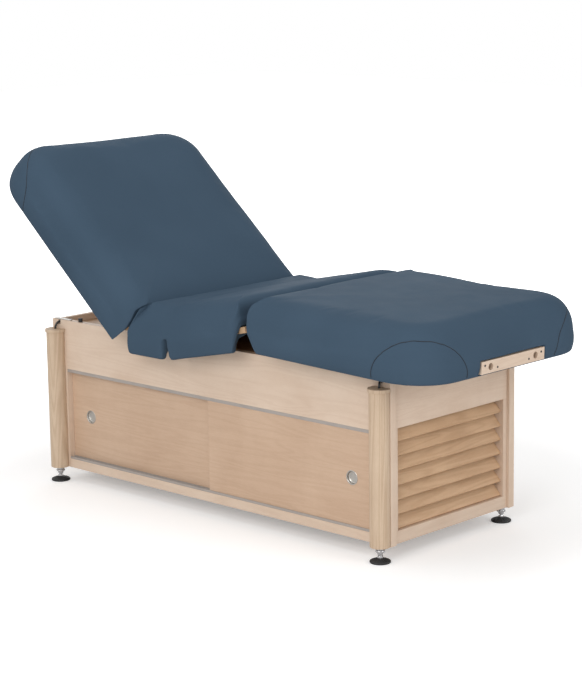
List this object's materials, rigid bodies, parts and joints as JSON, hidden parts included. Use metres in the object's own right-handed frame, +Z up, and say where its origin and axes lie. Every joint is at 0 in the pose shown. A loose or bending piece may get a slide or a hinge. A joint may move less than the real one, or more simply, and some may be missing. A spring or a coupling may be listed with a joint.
{
  "type": "medical exam table",
  "caption": "Padded treatment table with hinged back, thigh and leg sections on a wooden storage cabinet with sliding doors, louvred ends and electro-hydraulic lift columns.",
  "frame": {"origin": "bottom centre of the bounding box: on the floor, under the middle of the table with its back raised", "axes": "+X towards the foot end, +Y towards the rear long side (the doors face -Y), +Z up"},
  "size_m": [1.7816, 0.758, 1.1143],
  "materials": {
    "vinyl": "satin",
    "maple": "satin",
    "column_wood": "satin",
    "louvre_wood": "satin",
    "deck_plywood": "matte",
    "track_plastic": "matte",
    "brushed_metal": "satin",
    "hinge_steel": "satin",
    "plated_steel": "gloss",
    "black_screws": "satin",
    "rubber": "matte",
    "hose": "satin",
    "pump": "matte",
    "black_plastic": "matte"
  },
  "bodies": {
    "cabinet": {"post_front_head": "maple", "post_rear_head": "maple", "post_front_foot": "maple", "post_rear_foot": "maple", "front_fascia": "maple", "front_rail": "maple", "rear_panel": "maple", "upper_track": "track_plastic", "lower_track": "track_plastic", "end_headers": "maple", "end_sills": "maple", "end_stiles": "maple", "foot_end_louvres": "louvre_wood", "head_end_louvres": "louvre_wood", "bottom_board": "deck_plywood", "top_board": "deck_plywood", "column_head": "column_wood", "column_cap_head": "column_wood", "column_foot": "column_wood", "column_cap_foot": "column_wood", "lift_cylinders": "hinge_steel", "hydraulic_hoses": "hose", "hose_strap_head": "brushed_metal", "hose_strap_foot": "brushed_metal", "pump_unit": "pump", "mains_inlet": "black_plastic", "seat_cushion": "vinyl", "seat_deck": "deck_plywood", "seat_bearers": "deck_plywood", "hinge_stands": "hinge_steel", "hinge_pins": "plated_steel", "deck_bumpers": "rubber"},
    "head_door": {"door_head": "maple", "pull_head": "brushed_metal"},
    "foot_door": {"door_foot": "maple", "pull_foot": "brushed_metal"},
    "lift_front_head": {"lift_rod_front_head": "plated_steel", "foot_pad_front_head": "rubber"},
    "lift_front_foot": {"lift_rod_front_foot": "plated_steel", "foot_pad_front_foot": "rubber"},
    "lift_rear_head": {"lift_rod_rear_head": "plated_steel", "foot_pad_rear_head": "rubber"},
    "lift_rear_foot": {"lift_rod_rear_foot": "plated_steel", "foot_pad_rear_foot": "rubber"},
    "back_section": {"back_cushion": "vinyl", "back_deck": "deck_plywood", "back_hinge_arms": "hinge_steel"},
    "thigh_section": {"thigh_cushion": "vinyl", "thigh_deck": "deck_plywood", "thigh_hinge_arms": "hinge_steel", "knee_hinge_bases": "hinge_steel", "knee_hinge_pin": "plated_steel"},
    "leg_section": {"leg_cushion": "vinyl", "leg_deck": "deck_plywood", "knee_hinge_arms": "hinge_steel", "accessory_plate": "maple", "plate_screws": "black_screws", "leg_brackets": "hinge_steel"},
    "leg_support": {"support_bars": "hinge_steel", "support_rod": "plated_steel"}
  },
  "joints": [
    {"name": "head_door_slide", "type": "slide", "parent": "cabinet", "child": "head_door", "axis": [1, 0, 0], "range_m": [0, 0.6]},
    {"name": "foot_door_slide", "type": "slide", "parent": "cabinet", "child": "foot_door", "axis": [1, 0, 0], "range_m": [-0.6, 0]},
    {"name": "lift_front_head_slide", "type": "slide", "parent": "cabinet", "child": "lift_front_head", "axis": [0, 0, -1], "range_m": [0, 0.25]},
    {"name": "lift_front_foot_slide", "type": "slide", "parent": "cabinet", "child": "lift_front_foot", "axis": [0, 0, -1], "range_m": [0, 0.25]},
    {"name": "lift_rear_head_slide", "type": "slide", "parent": "cabinet", "child": "lift_rear_head", "axis": [0, 0, -1], "range_m": [0, 0.25]},
    {"name": "lift_rear_foot_slide", "type": "slide", "parent": "cabinet", "child": "lift_rear_foot", "axis": [0, 0, -1], "range_m": [0, 0.25]},
    {"name": "back_hinge", "type": "hinge", "parent": "cabinet", "child": "back_section", "pos_m": [-0.28954, 0, 0.546], "axis": [0, 1, 0], "range_deg": [-41.5, 0]},
    {"name": "thigh_hinge", "type": "hinge", "parent": "cabinet", "child": "thigh_section", "pos_m": [-0.11804, 0, 0.546], "axis": [0, -1, 0], "range_deg": [-11.8, 6.2]},
    {"name": "knee_hinge", "type": "hinge", "parent": "thigh_section", "child": "leg_section", "pos_m": [0.21477, 0, 0.61553], "axis": [0, -1, 0], "range_deg": [-7.2, 13.7]},
    {"name": "support_hinge", "type": "hinge", "parent": "cabinet", "child": "leg_support", "pos_m": [0.41926, 0, 0.51745], "axis": [0, -1, 0], "range_deg": [-14.8, 7.8]}
  ],
  "couplings": [
    {"joint": "lift_front_foot_slide", "follows": "lift_front_head_slide", "ratio": 1},
    {"joint": "lift_rear_head_slide", "follows": "lift_front_head_slide", "ratio": 1},
    {"joint": "lift_rear_foot_slide", "follows": "lift_front_head_slide", "ratio": 1},
    {"joint": "knee_hinge", "follows": "thigh_hinge", "ratio": -1.1525},
    {"joint": "support_hinge", "follows": "thigh_hinge", "ratio": 1.25}
  ]
}
